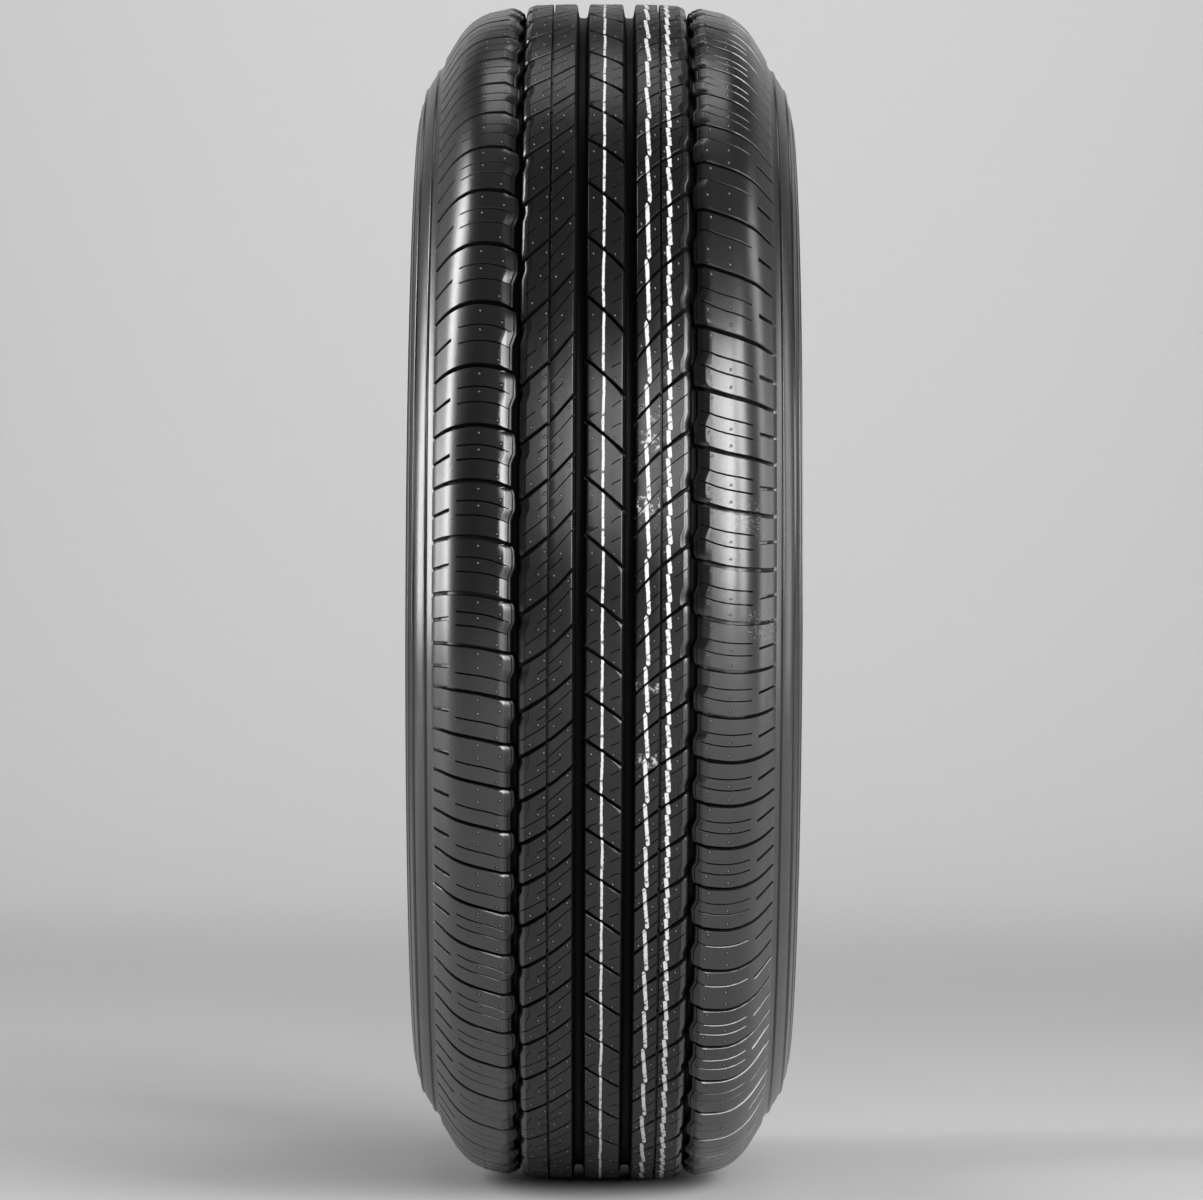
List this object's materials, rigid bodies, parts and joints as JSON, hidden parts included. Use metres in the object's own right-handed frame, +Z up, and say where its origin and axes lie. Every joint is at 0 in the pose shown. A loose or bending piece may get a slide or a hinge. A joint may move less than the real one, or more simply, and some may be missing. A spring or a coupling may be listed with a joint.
{
  "type": "car tyre",
  "caption": "Radial highway car tyre off its rim: ribbed tread with slanted grooves, blocked shoulders, plain sidewalls and an open cavity between its beads.",
  "frame": {"origin": "wheel centre, on the spin axis midway between the two sidewalls", "axes": "+Y along the spin axis, +Z up, +X towards the viewer of the tread"},
  "size_m": [0.724, 0.228, 0.724],
  "materials": {
    "tyre_rubber": "satin black moulded rubber, with white marking lines painted round the tread"
  },
  "bodies": {
    "root": {"tyre": "tyre_rubber"}
  },
  "joints": []
}
